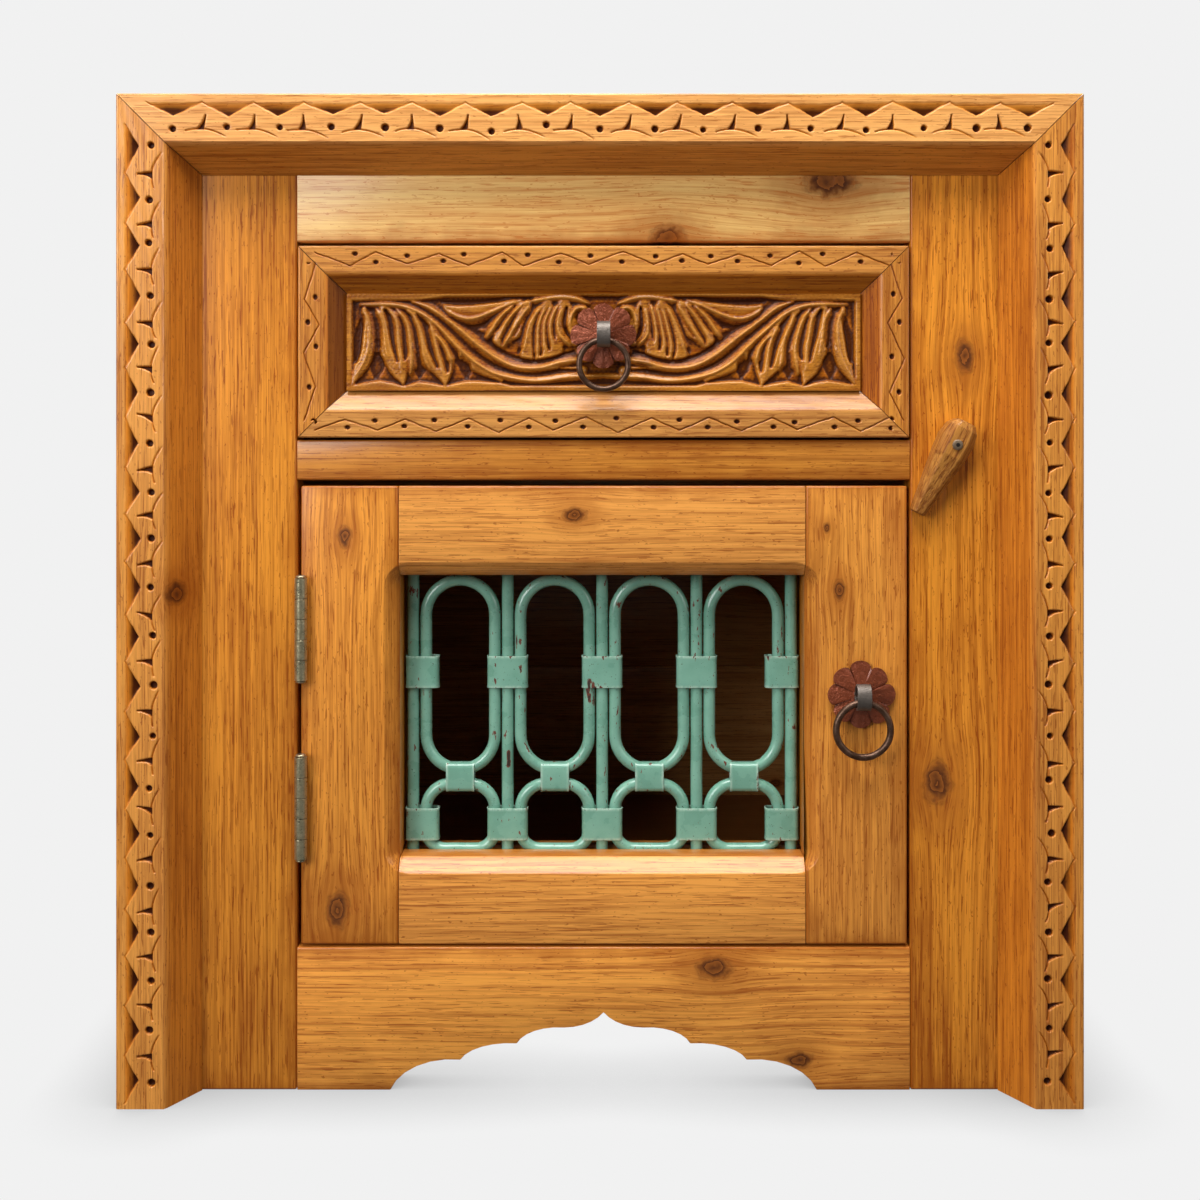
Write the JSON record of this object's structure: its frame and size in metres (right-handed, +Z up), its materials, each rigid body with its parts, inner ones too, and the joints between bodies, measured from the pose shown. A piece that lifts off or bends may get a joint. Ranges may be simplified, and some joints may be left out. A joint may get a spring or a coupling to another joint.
{
  "type": "bedside_cabinet",
  "caption": "Carved wooden bedside cabinet with an arched apron, a pull-out drawer, and a hinged door whose window holds an iron jali grille; ring pulls and a turn-button latch.",
  "frame": {"origin": "on the floor under the middle of the cabinet's overall box", "axes": "+X right as seen from the front, +Y to the back, +Z up"},
  "size_m": [0.572, 0.4, 0.6],
  "materials": {
    "wood_honey": "waxed honey pine with knots",
    "wood_pale": "waxed honey pine, a paler board",
    "wood_brown": "dark waxed carving",
    "wood_inner": "plain sawn boards",
    "paint_green": "worn pale green paint on iron",
    "iron_oxide": "reddish oxide brown",
    "iron_dark": "dark worn iron",
    "steel_worn": "worn grey steel"
  },
  "bodies": {
    "carcass": {"frame_moulding_top": "wood_honey", "frame_moulding_left": "wood_honey", "frame_moulding_right": "wood_honey", "face_stile_left": "wood_honey", "face_stile_right": "wood_honey", "top_rail": "wood_pale", "middle_rail": "wood_honey", "apron_rail": "wood_pale", "side_panel_left": "wood_honey", "side_panel_right": "wood_honey", "top_board": "wood_honey", "floor_board": "wood_inner", "back_plank_1": "wood_inner", "back_plank_2": "wood_inner", "back_plank_3": "wood_inner", "back_plank_4": "wood_inner", "drawer_shelf": "wood_inner", "drawer_guide_left": "wood_inner", "drawer_guide_right": "wood_inner", "hinge_leaf_fixed_upper": "steel_worn", "hinge_leaf_fixed_lower": "steel_worn", "hinge_pin_upper": "steel_worn", "hinge_pin_lower": "steel_worn", "latch_screw": "iron_dark"},
    "door": {"door_stile_left": "wood_honey", "door_stile_right": "wood_honey", "door_rail_top": "wood_pale", "door_rail_bottom": "wood_pale", "grille_bead_top": "wood_honey", "grille_bead_bottom": "wood_honey", "grille_bead_left": "wood_honey", "grille_bead_right": "wood_honey", "upright_1": "paint_green", "upright_2": "paint_green", "upright_3": "paint_green", "upright_4": "paint_green", "upright_5": "paint_green", "loop_pair_1": "paint_green", "loop_pair_2": "paint_green", "loop_pair_3": "paint_green", "loop_pair_4": "paint_green", "hinge_leaf_moving_upper": "steel_worn", "hinge_leaf_moving_lower": "steel_worn", "door_rosette": "iron_oxide", "door_staple": "steel_worn"},
    "drawer": {"drawer_moulding_top": "wood_honey", "drawer_moulding_bottom": "wood_honey", "drawer_moulding_left": "wood_honey", "drawer_moulding_right": "wood_honey", "carved_panel": "wood_brown", "drawer_front_board": "wood_inner", "drawer_side_left": "wood_inner", "drawer_side_right": "wood_inner", "drawer_back": "wood_inner", "drawer_bottom": "wood_inner", "drawer_rosette": "iron_oxide", "drawer_staple": "steel_worn"},
    "door_ring": {"door_ring": "iron_dark"},
    "drawer_ring": {"drawer_ring": "iron_dark"},
    "latch": {"latch": "wood_honey"}
  },
  "joints": [
    {"name": "door_swing", "type": "hinge", "parent": "carcass", "child": "door", "pos_m": [-0.1809, -0.1792, 0.25], "axis": [0, 0, -1], "range_deg": [0, 150]},
    {"name": "drawer_slide", "type": "slide", "parent": "carcass", "child": "drawer", "axis": [0, -1, 0], "range_m": [0, 0.26]},
    {"name": "latch_turn", "type": "hinge", "parent": "carcass", "child": "latch", "pos_m": [0.213, -0.1754, 0.3922], "axis": [0, -1, 0], "range_deg": [-13, 53]},
    {"name": "door_ring_swing", "type": "hinge", "parent": "door", "child": "door_ring", "pos_m": [0.158, -0.1864, 0.23712], "axis": [-1, 0, 0], "range_deg": [0, 100]},
    {"name": "drawer_ring_swing", "type": "hinge", "parent": "drawer", "child": "drawer_ring", "pos_m": [0.00215, -0.1849, 0.45502], "axis": [-1, 0, 0], "range_deg": [0, 100]}
  ]
}
